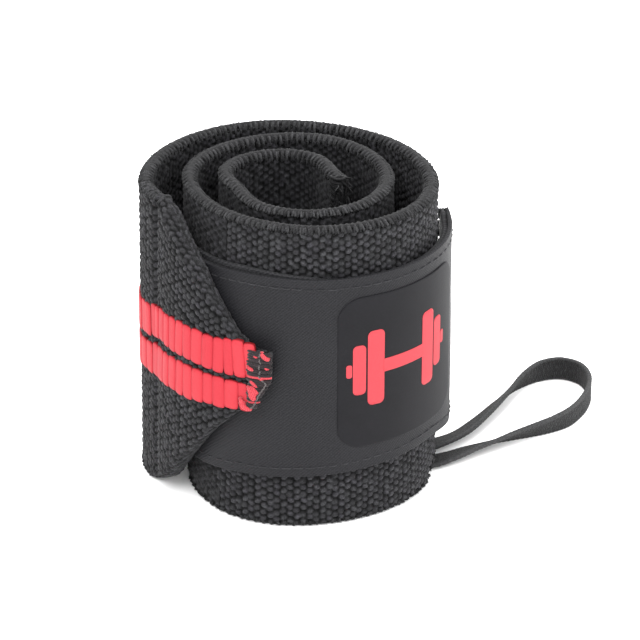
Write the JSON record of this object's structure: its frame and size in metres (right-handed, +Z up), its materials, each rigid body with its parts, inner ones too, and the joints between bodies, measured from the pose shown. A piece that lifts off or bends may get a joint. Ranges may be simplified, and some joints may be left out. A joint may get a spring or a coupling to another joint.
{
  "type": "wrist wrap",
  "caption": "Rolled-up elastic wrist wrap standing on its edge, with a pointed sewn end, a hook-and-loop closure strip and a thumb loop.",
  "frame": {"origin": "bottom centre of the object's box, on the surface that the roll stands on", "axes": "+Z up along the roll's axis, -Y to the side with the patch and the pointed end, +X to the side of the thumb loop"},
  "size_m": [0.1108, 0.08, 0.0762],
  "materials": {
    "knit_elastic": "thick knitted elastic, matt, with two ribbed coral stripes",
    "strip_face": "fine smooth twill, slight sheen",
    "hook_tape": "matt hook tape",
    "patch": "smooth transfer patch with a coral print",
    "tack_thread": "dense dark and coral thread",
    "loop_elastic": "flat ribbed elastic"
  },
  "bodies": {
    "root": {"elastic_band": "knit_elastic", "tip_fold": "knit_elastic", "closure_strip": "strip_face", "hook_tape": "hook_tape", "transfer_patch": "patch", "bar_tack": "tack_thread", "thumb_loop": "loop_elastic"}
  },
  "joints": []
}
